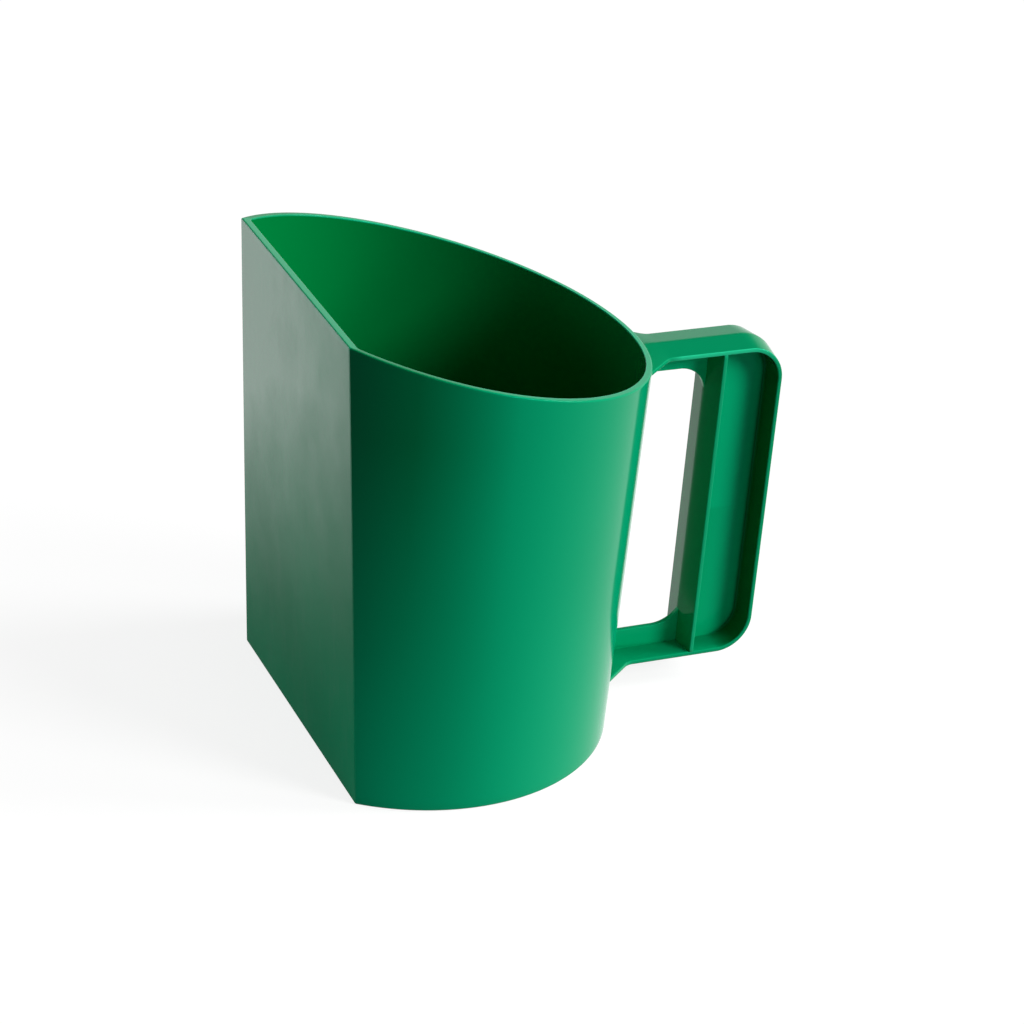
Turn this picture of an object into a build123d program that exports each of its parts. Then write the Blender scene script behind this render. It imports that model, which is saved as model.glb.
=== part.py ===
from build123d import *
from math import atan2, cos, degrees, radians, sin, tan
import os

# Feed scoop, drawn standing on its closed end.
# The cup has a D section: a flat wall on the -X side, which is the scoop's floor in use, and a
# round wall. The mouth is a gently dished slanting cut, high at the flat wall. The loop handle on
# the +X side is a C of drafted flanges on a thin web, with the finger opening cut through the web.
# +Z is up from the closed end, +X runs from the flat wall to the handle, Y = 0 is the mirror
# plane and the mould's parting plane. The origin is on the resting face, on the cup's axis.
# Lengths are millimetres and angles degrees.

# Cup
BASE_RADIUS = 75.0          # outer radius of the round wall at the closed end
ROUND_DRAFT = 1.42          # lean of the round wall, opening towards the mouth
FLAT_DISTANCE = 43.4        # axis to the outside of the flat wall, at the closed end
FLAT_LEAN = 3.82            # lean of the flat wall, opening towards the mouth
WALL = 2.5                  # thickness of the round wall
FLAT_WALL = 3.5             # thickness of the flat wall
FLOOR = 3.0
RIM_HIGH = 180.5            # height of the mouth at the flat wall
RIM_LOW = 147.8             # height of the mouth at the handle
RIM_DIP = 0.8               # how far the mouth's cut sags below a straight cut
RIM_ROUND = 0.8             # rounding of the mouth's outer edge
FOOT_RADIUS = 4.0           # inner radius between floor and walls
CORNER_RADIUS = 3.0         # inner radius between flat and round walls
CORNER_ROUND = 0.8          # outer rounding between flat and round walls
PANEL_RETURN = 1.0          # how far the walls run on past their inner radii to their joints

# Handle, measured from the cup's base radius and its two ends
HANDLE_WIDTH = 22.0
GRIP_REACH = 63.9           # base radius to the ridge along the back of the grip
FINGER_REACH = 35.3         # base radius to the ridge of the grip rib
UPPER_ARM_DROP = 6.0        # mouth at the handle down to the upper arm's ridge
LOWER_ARM_LIFT = 9.0        # resting face up to the lower arm's ridge
UPPER_ARM_RISE = 0.7        # slope of the upper arm, outwards
LOWER_ARM_RISE = 1.0        # slope of the lower arm, outwards
CREASE = 1.5                # ridge of each flange above its two edges
FLANGE_EDGE = 1.6           # thickness of the flanges at their edges
EDGE_BEVEL = 0.35           # small bevel along the edges of flanges and rib
POCKET_DRAFT = 2.0          # draft of the faces inside the pockets
GRIP_CORNER = 15.5          # radius of the grip's two corners, along the ridge
RIB_CREASE = 1.8            # ridge of the grip rib ahead of its two edges
RIB_EDGE = 1.6              # thickness of the grip rib at its edges
WEB = 2.2                   # thickness of the web
UPPER_WEB_DEPTH = 8.1       # web left between the upper arm and the finger opening
LOWER_WEB_DEPTH = 8.0       # web left between the lower arm and the finger opening
OPENING_TOP_RADIUS = 11.2
OPENING_BOTTOM_RADIUS = 13.0
OPENING_TOP_BITE = 0.3      # how far the opening's far side runs past the rib's ridge, at its top
OPENING_BOTTOM_BITE = 2.1   # and at its bottom
FLARE_REACH = 10.7          # distance from the cup at which an arm starts to flare
FLARE_ANGLE = 40.0          # spread of each flared edge away from its arm
FLARE_BLEND = 5.5           # radius between a flare and its arm's edge

# Construction
CUT_MARGIN = 10.0           # how far cutting shapes run past what they cut
TOLERANCE = 0.05            # two places nearer than this count as one

# Values that follow from the sizes above
HALF_WIDTH = HANDLE_WIDTH / 2
GRIP_X = BASE_RADIUS + GRIP_REACH
RIB_X = BASE_RADIUS + FINGER_REACH
ROUND_SLOPE = tan(radians(ROUND_DRAFT))
FLAT_SLOPE = tan(radians(FLAT_LEAN))
CREASE_DRAFT = degrees(atan2(CREASE, HALF_WIDTH))
CUTTER_TOP = RIM_HIGH + CUT_MARGIN
BLOCK_SIZE = 2 * (GRIP_X + CUTTER_TOP)      # edge of the blocks that part and trim the scoop
ON_BASE = (Align.CENTER, Align.CENTER, Align.MIN)
UPPER_Z = RIM_LOW - UPPER_ARM_DROP
LOWER_Z = LOWER_ARM_LIFT
MIDDLE_Z = (UPPER_Z + LOWER_Z) / 2
# thickness of a flange at its ridge: edge, crease and the pocket's draft over half the width
FLANGE_ROOT = FLANGE_EDGE + CREASE + HALF_WIDTH * tan(radians(POCKET_DRAFT))
RIB_ROOT_X = RIB_X + RIB_CREASE + RIB_EDGE + HALF_WIDTH * tan(radians(POCKET_DRAFT))


def upper_line(x, depth):
    """Height at x of the line that lies a depth square below the upper arm's ridge."""
    rise = radians(UPPER_ARM_RISE)
    return UPPER_Z - depth / cos(rise) + (x - BASE_RADIUS) * tan(rise)


def lower_line(x, depth):
    """Height at x of the line that lies a depth square above the lower arm's ridge."""
    rise = radians(LOWER_ARM_RISE)
    return LOWER_Z + depth / cos(rise) + (x - BASE_RADIUS) * tan(rise)


def flat_half_space(inset):
    """A large block on the +X side of the flat wall's outer face, moved in by an inset."""
    face = Plane(origin=(-FLAT_DISTANCE, 0, 0), x_dir=(0, 1, 0), z_dir=(1, 0, FLAT_SLOPE))
    return face * Pos(0, 0, inset) * Box(BLOCK_SIZE, BLOCK_SIZE, BLOCK_SIZE, align=ON_BASE)


def d_solid(inset, flat_inset, floor):
    """The D-section cone from a floor level to above the mouth, inset along its round and flat sides."""
    shrink = inset / cos(radians(ROUND_DRAFT))
    low_radius = BASE_RADIUS + floor * ROUND_SLOPE - shrink
    high_radius = BASE_RADIUS + CUTTER_TOP * ROUND_SLOPE - shrink
    height = CUTTER_TOP - floor
    cone = Pos(0, 0, floor) * Cone(low_radius, high_radius, height, align=ON_BASE)
    return cone & flat_half_space(flat_inset)


def mouth_cutter():
    """Everything above the mouth's dished cut."""
    flat_x = -FLAT_DISTANCE - RIM_HIGH * FLAT_SLOPE
    handle_x = BASE_RADIUS + RIM_LOW * ROUND_SLOPE
    middle = ((flat_x + handle_x) / 2, (RIM_HIGH + RIM_LOW) / 2 - RIM_DIP)
    slope = (RIM_HIGH - RIM_LOW) / (handle_x - flat_x)
    start = (flat_x - CUT_MARGIN, RIM_HIGH + CUT_MARGIN * slope)
    end = (handle_x + CUT_MARGIN, RIM_LOW - CUT_MARGIN * slope)
    top = CUTTER_TOP + CUT_MARGIN
    with BuildSketch(Plane.XZ) as section:
        with BuildLine():
            ThreePointArc((flat_x, RIM_HIGH), middle, (handle_x, RIM_LOW))
            Polyline((handle_x, RIM_LOW), end, (end[0], top), (start[0], top), start, (flat_x, RIM_HIGH))
        make_face()
    return extrude(section.sketch, amount=2 * BASE_RADIUS, both=True)


def cup():
    """The whole cup: a drafted shell with a radiused core, cut by the mouth."""
    outside = d_solid(0, 0, 0)
    outside = fillet(upright_edges(outside), CORNER_ROUND)
    core = d_solid(WALL, FLAT_WALL, FLOOR)
    core = fillet(upright_edges(core), CORNER_RADIUS)
    core = fillet(core.faces().sort_by(Axis.Z)[0].edges(), FOOT_RADIUS)
    shell = outside - core - mouth_cutter()
    return fillet(mouth_outer_edges(shell), RIM_ROUND)


def upright_edges(solid):
    """The two edges where the flat wall meets the round wall."""
    rising = solid.edges().filter_by(lambda e: e.bounding_box().size.Z > WALL)
    return rising.filter_by(lambda e: e.center().X < 0)


def mouth_outer_edges(shell):
    """The outer edges of the mouth's dished face, the one that faces most nearly up."""
    high_faces = shell.faces().filter_by(lambda f: f.center().Z > RIM_LOW)
    mouth = high_faces.sort_by(lambda f: f.normal_at().Z)[-1]
    return mouth.outer_wire().edges()


def split_cup(shell):
    """The closed end's flat panel, the flat wall and the round wall, parted clear of the radii."""
    inset = max(WALL, FLAT_WALL) + max(CORNER_RADIUS, FOOT_RADIUS) + PANEL_RETURN
    panel = d_solid(inset, inset, 0)
    inner = flat_half_space(inset)
    return {"closed_end": shell & panel, "flat_wall": shell - inner, "round_wall": (shell & inner) - panel}


def outline(depth, radius):
    """The handle's side outline at a depth inside its ridges, with rounded grip corners."""
    inner_x = 0
    outer_x = GRIP_X - depth
    with BuildSketch(Plane.XZ) as section:
        with BuildLine():
            Polyline(
                (inner_x, lower_line(inner_x, depth)),
                (outer_x, lower_line(outer_x, depth)),
                (outer_x, upper_line(outer_x, depth)),
                (inner_x, upper_line(inner_x, depth)),
                close=True,
            )
        make_face()
        fillet(section.vertices().filter_by(lambda v: v.X > inner_x + depth), radius)
    return section.sketch


def drafted(sketch, taper):
    """A sketch in the mirror plane pulled out to both sides with draft."""
    near = extrude(sketch, amount=HALF_WIDTH, taper=taper)
    return near + mirror(near, Plane.XZ)


def flare(level, rise, thickness):
    """The widened root of an arm: a plate as thick as the flange's edge, up or down from a level."""
    angle = radians(FLARE_ANGLE)
    inside_x = BASE_RADIUS / 2
    turn_x = BASE_RADIUS + level * ROUND_SLOPE + FLARE_REACH
    setback = FLARE_BLEND * tan(angle / 2)
    end_x = turn_x + setback
    wide = HALF_WIDTH + (turn_x - inside_x) * tan(angle)
    blend = (turn_x - setback * cos(angle), HALF_WIDTH + setback * sin(angle))
    slope = tan(radians(rise))
    with BuildSketch(Plane(origin=(0, 0, level), x_dir=(1, 0, slope), z_dir=(-slope, 0, 1))) as plan:
        with BuildLine():
            Line((inside_x, wide), blend)
            RadiusArc(blend, (end_x, HALF_WIDTH), FLARE_BLEND)
            Line((end_x, HALF_WIDTH), (end_x, -HALF_WIDTH))
            RadiusArc((end_x, -HALF_WIDTH), (blend[0], -blend[1]), FLARE_BLEND)
            Line((blend[0], -blend[1]), (inside_x, -wide))
            Line((inside_x, -wide), (inside_x, wide))
        make_face()
    return extrude(plan.sketch, amount=thickness)


def bevel_side_edges(solid):
    """Bevel the long edges where a flange or rib ends at the handle's two sides."""
    at_side = solid.edges().filter_by(lambda e: abs(abs(e.center().Y) - HALF_WIDTH) < TOLERANCE)
    return chamfer(at_side.filter_by(lambda e: e.length > FLANGE_EDGE + RIB_EDGE), EDGE_BEVEL)


def flanges(frame, pocket, cup_body):
    """The C-shaped flange with both flares, parted into two arms and the grip's back."""
    whole = bevel_side_edges(frame - pocket)
    whole = whole + flare(upper_line(0, CREASE), UPPER_ARM_RISE, -FLANGE_EDGE)
    whole = whole + flare(lower_line(0, CREASE), LOWER_ARM_RISE, FLANGE_EDGE)
    whole = whole - cup_body
    block = Box(BLOCK_SIZE, BLOCK_SIZE, BLOCK_SIZE, align=ON_BASE)
    outer = Plane(origin=(GRIP_X - GRIP_CORNER, 0, 0), x_dir=(0, 1, 0), z_dir=(1, 0, 0)) * block
    above = Pos(0, 0, MIDDLE_Z) * block
    arms = whole - outer
    return {"upper_flange": arms & above, "lower_flange": arms - above, "grip_flange": whole & outer}


def grip_rib(pocket):
    """The straight rib behind the fingers, creased at the parting plane like the flanges."""
    edge_x = RIB_X + RIB_CREASE
    with BuildSketch(Plane.XY) as section:
        with BuildLine():
            Polyline(
                (RIB_X, 0),
                (edge_x, HALF_WIDTH),
                (edge_x + RIB_EDGE, HALF_WIDTH),
                (RIB_ROOT_X, 0),
                (edge_x + RIB_EDGE, -HALF_WIDTH),
                (edge_x, -HALF_WIDTH),
                close=True,
            )
        make_face()
    return bevel_side_edges(extrude(section.sketch, amount=CUTTER_TOP)) & pocket


def finger_opening():
    """The cut through the web: alongside both arms, with two rounded corners at the rib."""
    inside_x = BASE_RADIUS / 2
    top_x = RIB_X + OPENING_TOP_BITE
    bottom_x = RIB_X + OPENING_BOTTOM_BITE
    top = FLANGE_ROOT + UPPER_WEB_DEPTH
    bottom = FLANGE_ROOT + LOWER_WEB_DEPTH
    with BuildSketch(Plane.XZ) as section:
        with BuildLine():
            Polyline(
                (inside_x, lower_line(inside_x, bottom)),
                (bottom_x, lower_line(bottom_x, bottom)),
                (top_x, upper_line(top_x, top)),
                (inside_x, upper_line(inside_x, top)),
                close=True,
            )
        make_face()
        fillet(section.vertices().filter_by(lambda v: v.X > RIB_X).sort_by(Axis.Y)[0], OPENING_BOTTOM_RADIUS)
        fillet(section.vertices().filter_by(lambda v: v.X > RIB_X).sort_by(Axis.Y)[-1], OPENING_TOP_RADIUS)
    return extrude(section.sketch, amount=HANDLE_WIDTH, both=True)


def webs(pocket, rib, cup_body):
    """The thin web between the flanges, in three panels around the rib and the opening."""
    plate = Box(BLOCK_SIZE, WEB, BLOCK_SIZE) & pocket
    plate = plate - rib - cup_body - finger_opening()
    names = {}
    for panel in plate.solids():
        if panel.center().X > RIB_X:
            names["grip_web"] = panel
        elif panel.center().Z > MIDDLE_Z:
            names["upper_web"] = panel
        else:
            names["lower_web"] = panel
    return names


def handle(cup_body):
    """Every handle node, trimmed to the cup's outer surface."""
    frame = drafted(outline(0, GRIP_CORNER), CREASE_DRAFT)
    pocket = drafted(outline(FLANGE_ROOT, GRIP_CORNER - FLANGE_ROOT), -POCKET_DRAFT)
    rib = grip_rib(pocket)
    nodes = flanges(frame, pocket, cup_body)
    nodes["grip_rib"] = rib
    nodes.update(webs(pocket, rib, cup_body))
    return nodes


def main():
    nodes = split_cup(cup())
    nodes.update(handle(d_solid(0, 0, 0)))
    os.makedirs("parts", exist_ok=True)
    for name, solid in nodes.items():
        export_step(solid, f"parts/{name}.step")


if __name__ == "__main__":
    main()
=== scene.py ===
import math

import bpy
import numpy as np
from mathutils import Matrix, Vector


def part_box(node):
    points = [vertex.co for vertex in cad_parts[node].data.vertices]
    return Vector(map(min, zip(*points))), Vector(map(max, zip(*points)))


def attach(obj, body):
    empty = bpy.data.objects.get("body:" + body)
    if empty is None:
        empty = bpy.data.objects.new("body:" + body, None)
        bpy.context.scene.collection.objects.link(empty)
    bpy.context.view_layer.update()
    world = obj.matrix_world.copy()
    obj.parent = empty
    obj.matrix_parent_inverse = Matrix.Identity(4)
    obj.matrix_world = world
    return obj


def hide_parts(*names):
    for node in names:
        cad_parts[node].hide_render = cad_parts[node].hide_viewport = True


bl_info = {
    "name": "Moulded feed scoop",
    "version": (1, 0, 0),
    "blender": (4, 5, 0),
    "location": "3D View > Sidebar > Scoop",
    "description": "Builds the scoop's moulded surfaces, their finishes and a plain studio on the packed frame",
    "category": "Object",
}

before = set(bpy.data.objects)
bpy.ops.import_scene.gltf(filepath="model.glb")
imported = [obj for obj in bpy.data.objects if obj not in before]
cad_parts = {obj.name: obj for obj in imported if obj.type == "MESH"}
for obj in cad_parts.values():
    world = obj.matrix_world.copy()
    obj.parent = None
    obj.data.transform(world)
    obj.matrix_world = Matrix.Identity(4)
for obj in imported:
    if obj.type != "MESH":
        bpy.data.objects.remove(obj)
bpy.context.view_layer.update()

# Everything is in metres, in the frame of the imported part: +Z up from the closed end, +X from the
# flat wall to the handle, Y = 0 the mirror plane.
MM = 0.001
BODY = "root"
GRIP_LOW, GRIP_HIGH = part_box("grip_flange")
RIB_LOW, RIB_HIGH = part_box("grip_rib")
WEB_LOW, WEB_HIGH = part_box("grip_web")
PANEL_LOW, PANEL_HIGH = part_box("closed_end")
AIM = np.array([36.477, 0.0, 77.687]) * MM
FLOOR_REACH = 6.0

# Each lamp with its setting, azimuth, elevation and spread. The last three are in degrees.
LAMPS = (
    ("front_light", "front", -46.0, 28.0, 24.0),
    ("fill_light", "fill", -85.0, 15.0, 30.0),
    ("side_light", "side", -12.0, 31.0, 18.0),
    ("top_light", "top", 0.0, 88.0, 25.0),
    ("back_light", "back", 140.0, 12.0, 40.0),
)


def length(name, text, default):
    """A length property in metres."""
    return bpy.props.FloatProperty(name=name, description=text, default=default, unit="LENGTH", precision=5)


def angle(name, text, degrees):
    """An angle property, its default given in degrees."""
    return bpy.props.FloatProperty(name=name, description=text, default=math.radians(degrees), subtype="ANGLE")


def factor(name, text, default):
    """A plain number between 0 and 1."""
    return bpy.props.FloatProperty(name=name, description=text, default=default, min=0, max=1, subtype="FACTOR")


def number(name, text, default):
    """A plain number from 0 up."""
    return bpy.props.FloatProperty(name=name, description=text, default=default, min=0)


def colour(name, text, default):
    """A linear colour property."""
    return bpy.props.FloatVectorProperty(name=name, description=text, default=default, size=3, min=0, max=1,
                                         subtype="COLOR")


class ScoopCup(bpy.types.PropertyGroup):
    """Sizes of the cup."""
    base_radius: length("Base radius", "Outer radius of the round wall at the closed end", 75.0 * MM)
    round_draft: angle("Round draft", "Lean of the round wall", 1.42)
    flat_distance: length("Flat distance", "Axis to the outside of the flat wall at the closed end", 43.4 * MM)
    flat_lean: angle("Flat lean", "Lean of the flat wall", 3.82)
    wall: length("Round wall", "Thickness of the round wall", 2.5 * MM)
    flat_wall: length("Flat wall", "Thickness of the flat wall", 3.5 * MM)
    floor: length("Floor", "Thickness of the closed end", PANEL_HIGH[2] - PANEL_LOW[2])
    rim_high: length("High side", "Height of the mouth at the flat wall", 180.5 * MM)
    rim_low: length("Low side", "Height of the mouth at the handle", 147.8 * MM)
    rim_dip: length("Dish", "How far the mouth sags below a straight cut", 0.8 * MM)
    rim_round: length("Rim rounding", "Rounding of the mouth's outer edge", 0.6 * MM)
    rim_inner_round: length("Inner rim rounding", "Rounding of the mouth's inner edge", 0.35 * MM)
    heel_round: length("Heel rounding", "Rounding round the resting face", 0.6 * MM)
    foot_radius: length("Foot radius", "Inner radius between floor and walls", 4.0 * MM)
    corner_radius: length("Corner radius", "Inner radius between the flat and round walls", 3.0 * MM)
    corner_round: length("Corner rounding", "Outer rounding between the flat and round walls", 0.8 * MM)


class ScoopHandle(bpy.types.PropertyGroup):
    """Sizes of the handle."""
    half_width: length("Half width", "Mirror plane to the edge of the flanges", GRIP_HIGH[1])
    grip_x: length("Grip", "Axis to the ridge along the back of the grip", GRIP_HIGH[0])
    rib_x: length("Rib", "Axis to the ridge of the grip rib", RIB_LOW[0])
    upper_z: length("Upper arm", "Height of the upper arm's ridge above the base radius", 141.8 * MM)
    lower_z: length("Lower arm", "Height of the lower arm's ridge above the base radius", 9.0 * MM)
    upper_rise: angle("Upper slope", "Slope of the upper arm, outwards", 0.7)
    lower_rise: angle("Lower slope", "Slope of the lower arm, outwards", 1.0)
    crease: length("Crease", "Ridge of each flange above its edges", 1.5 * MM)
    crease_round: length("Crease rounding", "Softening of the ridges", 0.35 * MM)
    flange_edge: length("Flange edge", "Thickness of the flanges at their edges", 1.6 * MM)
    pocket_draft: angle("Pocket draft", "Draft of the faces inside the pockets", 2.0)
    edge_round: length("Edge rounding", "Rounding of the edges of flanges and rib", 0.4 * MM)
    grip_corner: length("Grip corner", "Radius of the grip's two corners", GRIP_HIGH[0] - GRIP_LOW[0])
    rib_crease: length("Rib crease", "Ridge of the grip rib ahead of its edges", 1.8 * MM)
    rib_edge: length("Rib edge", "Thickness of the grip rib at its edges", 1.6 * MM)
    rib_inset: length("Rib inset", "How far the rib's edges lie inside the flange's", 0.05 * MM)
    rib_sunk: length("Rib ends", "How far the rib's ends run into the two arms", 0.9 * MM)
    web: length("Web", "Thickness of the web", WEB_HIGH[1] - WEB_LOW[1])
    web_fillet: length("Web fillet", "Radius between web and flanges", 0.8 * MM)
    web_sunk: length("Web root", "How far the web runs into the flange", 0.8 * MM)
    web_edge: length("Web edge", "Rounding of the web's edge round the finger opening", 0.45 * MM)
    upper_web: length("Upper web", "Web between the upper arm and the finger opening", 8.1 * MM)
    lower_web: length("Lower web", "Web between the lower arm and the finger opening", 8.0 * MM)
    top_radius: length("Opening top radius", "Corner of the finger opening", 11.2 * MM)
    bottom_radius: length("Opening bottom radius", "Corner of the finger opening", 13.0 * MM)
    top_bite: length("Opening top bite", "Opening past the rib's ridge at its top", 0.3 * MM)
    bottom_bite: length("Opening bottom bite", "Opening past the rib's ridge at its bottom", 2.1 * MM)
    flare_reach: length("Flare reach", "Distance from the cup at which an arm starts to flare", 10.7 * MM)
    flare_angle: angle("Flare angle", "Spread of each flared edge", 40.0)
    flare_blend: length("Flare blend", "Radius between a flare and its arm's edge", 5.5 * MM)
    sunk: length("Sunk end", "How far the handle's ends run into the cup's wall", 0.5 * MM)


class ScoopFinish(bpy.types.PropertyGroup):
    """Colours and gloss of the plastic, some of them painted light, highlight and shade."""
    green: colour("Green", "Body colour of the plastic", (0.0, 0.345, 0.158))
    deep_green: colour("Deep green", "Darker body colour in the moulding's thicker patches", (0.0, 0.280, 0.116))
    handle_green: colour("Handle green", "Deeper body colour of the handle's flange and rib", (0.0, 0.250, 0.095))
    # Painted shade: the inside of the cup is given a darker green than the outside.
    inside_shade_green: colour("Inside shade green", "Deeper body colour inside the cup", (0.0, 0.175, 0.037))
    # Painted shade: darker green inside the grip's pocket, at the web's root, over the lower web and at the round
    # wall's upper corners. The settings below set how much of it each place gets.
    pocket_shade_green: colour("Pocket shade green", "Darker body colour inside the flange and at the wall's upper corners",
                         (0.0, 0.120, 0.024))
    corner_shade: factor("Corner shade", "How dark the round wall's upper corners are", 0.75)
    corner_start: angle("Corner start", "Angle from the handle at which the round wall starts to darken", 90.0)
    corner_blend: angle("Corner blend", "Angle over which it darkens", 26.0)
    web_shade: factor("Lower web shade", "How dark the lower arm's web is", 0.25)
    web_root_shade: factor("Lower web root shade", "How much darker it is where it meets the flange", 0.3)
    # Painted light: the web is given a lighter green, as if lit through.
    web_lit_green: colour("Web lit green", "Lighter body colour of the thin web", (0.0, 0.560, 0.230))
    # Painted highlight: the light green of the thin edges, and after it the share of it on each part.
    edge_highlight_green: colour("Edge highlight green", "Light green of the thin edges", (0.020, 0.580, 0.290))
    rim_glow: factor("Rim glow", "Share of the edge colour on the cup's rim", 0.65)
    edge_glow: factor("Edge glow", "Share of the edge colour on the upper arm's thin edges", 0.9)
    grip_share: factor("Grip edges", "How much of that glow the grip's and the lower arm's edges have", 0.12)
    web_glow: factor("Web glow", "Share of the edge colour on the edges of the web and the rib", 0.25)
    gloss_tint: colour("Gloss tint", "Colour of reflections seen square on", (0.0, 0.9, 0.75))
    # Painted light: the flat wall is given a lighter green than the cup.
    flat_wall_lit_green: colour("Flat wall lit green", "Body colour of the scuffed flat wall", (0.0, 0.560, 0.250))
    scuff_green: colour("Scuffs", "Colour of the fine scuffs on the flat wall", (0.06, 0.44, 0.24))
    gloss: factor("Gloss roughness", "Roughness of the polished surfaces", 0.12)
    gloss_drift: factor("Gloss drift", "How much that roughness drifts from place to place", 0.06)
    gloss_level: factor("Gloss level", "Strength of the polished surfaces' reflections", 0.08)
    skin: factor("Skin", "Relief of the polished surfaces' very fine skin", 0.02)
    satin: factor("Satin roughness", "Roughness of the flat wall", 0.36)
    scuff_dull: factor("Scuff roughness", "Roughness that full scuffs would add", 0.3)
    scuff_scale: number("Scuff scale", "Scale of the mottling", 110.0)
    scuff_relief: factor("Scuff relief", "Relief of the mottling", 0.05)
    coat_index: number("Coat index", "Refractive index of the burnish", 1.9)
    coat_roughness: factor("Coat roughness", "Roughness of the burnish", 0.22)
    coat_scale: number("Coat scale", "Scale of the burnish's clouds", 60.0)
    burnish_height: length("Burnish", "Height at which the flat wall is fully burnished", 140.0 * MM)
    burnish_slant: factor("Burnish slant", "How much lower the burnish reaches for each metre towards +Y", 0.3)
    burnish_least: factor("Least burnish", "Burnish at the foot of the flat wall", 0.06)
    burnish_middle: factor("Middle burnish", "Share of the burnish in the middle of the flat wall", 0.90)
    burnish_across: number("Burnish across", "Growth of that share in each metre towards +Y", 4.0)


class ScoopStage(bpy.types.PropertyGroup):
    """Light and camera of the studio."""
    front: number("Front light", "Strength of the light on the pockets' open side", 2.5)
    side: number("Side light", "Strength of the light from the handle's end", 2.2)
    fill: number("Fill light", "Strength of the weak low light straight into the pockets", 0.3)
    top: number("Top light", "Strength of the weak light overhead", 0.5)
    back: number("Back light", "Strength of the weak light on the flat wall", 0.85)
    sky: factor("Sky", "Level of the even light from all round", 0.0)
    white_up_to: factor("White up to", "Upward part of a direction up to which the surroundings look white", 0.22)
    dim_from: factor("Dim from", "Upward part of a direction from which they look dim", 0.5)
    dim_white: factor("Dim white", "White that is left there", 0.1)
    paper: factor("Paper", "How pale the floor is to the light that falls on it", 0.2)
    paper_reach: length("Paper reach", "Distance at which the paper scatters no more light", 400.0 * MM)
    paper_blend: length("Paper blend", "Distance over which its scattering falls off", 280.0 * MM)
    paper_white: factor("Paper white", "White that the floor adds for the eye and in reflections", 0.85)
    paper_lit: factor("Paper lit", "White of a perfectly pale floor under these lamps", 0.85)
    lens: number("Lens", "Focal length in millimetres", 120.96)
    distance: length("Distance", "Camera to the point it looks at", 1281.63 * MM)
    azimuth: angle("Azimuth", "Direction of view, from +X towards +Y", 65.176)
    descent: angle("Descent", "How steeply the camera looks down", 27.226)
    roll: angle("Roll", "Turn of the camera about its line of sight", 5.166)


# Meshes

def ramp(count):
    """Numbers from 0 to 1, evenly spaced."""
    return np.linspace(0, 1, count)


def ring_faces(rows, columns):
    """Quads of a grid whose columns close into rings: each cell joins two neighbours in two rows."""
    row = np.arange(rows - 1)[:, None] * columns
    column = np.arange(columns)[None, :]
    after = (column + 1) % columns
    cell = np.stack([row + column, row + after, row + columns + after, row + columns + column], axis=-1)
    return cell.reshape(-1, 4)


def fan_faces(ring, pole, flip):
    """Triangles from a ring of vertices to one pole."""
    after = np.roll(ring, -1)
    third = np.full_like(ring, pole)
    order = (after, ring, third) if flip else (ring, after, third)
    return np.stack(order, axis=-1)


def closed_surface(name, grid, edge, thick=0.0, material=None):
    """A closed mesh object from a grid of rings, its first and last ring each closed by a pole.

    The pole is the ring's mean point. Rows run from the first pole to the last. The edge mask, 1 on
    thin rounded edges where highlight is painted, and the mask of painted shade, 1 where shade is
    painted fully, have the grid's shape or one that spreads over it, and are kept on the points. The
    material numbers have one row for each pair of neighbouring rings.
    """
    rows, columns = grid.shape[:2]
    points = np.vstack([grid.reshape(-1, 3), grid[0].mean(axis=0), grid[-1].mean(axis=0)])
    quads = ring_faces(rows, columns)
    first = fan_faces(np.arange(columns), rows * columns, True)
    last = fan_faces(np.arange(columns) + (rows - 1) * columns, rows * columns + 1, False)
    corners = points[quads]
    across = np.cross(corners[:, 2] - corners[:, 0], corners[:, 3] - corners[:, 1])
    inward = (corners.mean(axis=1) * across).sum() < 0
    faces = [part[:, ::-1] if inward else part for part in (quads, first, last)]
    mesh = bpy.data.meshes.new(name)
    mesh.from_pydata(points.tolist(), [], [face for part in faces for face in part.tolist()])
    mesh.polygons.foreach_set("use_smooth", np.ones(len(mesh.polygons), dtype=bool))
    for key, value in (("edge", edge), ("thick", thick)):
        mask = np.concatenate([np.broadcast_to(value, (rows, columns)).reshape(-1), np.zeros(2)])
        mesh.attributes.new(key, "FLOAT", "POINT").data.foreach_set("value", mask.astype(np.float32))
    if material is not None:
        index = np.concatenate([material.reshape(-1), material[0], material[-1]])
        mesh.polygons.foreach_set("material_index", index)
    mesh.update()
    piece = bpy.data.objects.new(name, mesh)
    bpy.context.scene.collection.objects.link(piece)
    return piece


def place(piece, slot, nodes, *materials):
    """Dress a finished piece and hand it to the frame."""
    for material in materials:
        piece.data.materials.append(material)
    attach(piece, BODY)
    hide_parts(*nodes)


# Cup

def outline(cup, u, z, inset, flat_inset, corner):
    """The D section at height z, inset along its round and flat sides, as x and y at each column.

    u runs 0..4 round the D: round wall, far corner, flat wall, near corner. The round wall is an arc
    of the cone's radius at z, each corner an arc tangent to it and to the flat wall's line.
    """
    radius = cup.base_radius + z * math.tan(cup.round_draft) - inset / math.cos(cup.round_draft)
    flat = cup.flat_distance + z * math.tan(cup.flat_lean) - flat_inset / math.cos(cup.flat_lean)
    centre_x = corner - flat
    centre_y = np.sqrt((radius - corner) ** 2 - centre_x ** 2)
    turn = np.arctan2(centre_y, centre_x)
    v = u % 1
    part = np.floor(u).astype(int) % 4
    swing = np.choose(part, [turn * (2 * v - 1), turn + (np.pi - turn) * v, np.pi + 0 * v * turn,
                             np.pi + (np.pi - turn) * v])
    reach = np.where(part == 0, radius, corner)
    middle_x = np.where(part == 0, 0, centre_x)
    middle_y = np.choose(part, [0 * centre_y, centre_y, centre_y * (1 - 2 * v), -centre_y])
    x = np.where(part == 2, -flat, middle_x + reach * np.cos(swing))
    y = np.where(part == 2, middle_y, middle_y + reach * np.sin(swing))
    return x, y


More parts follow.
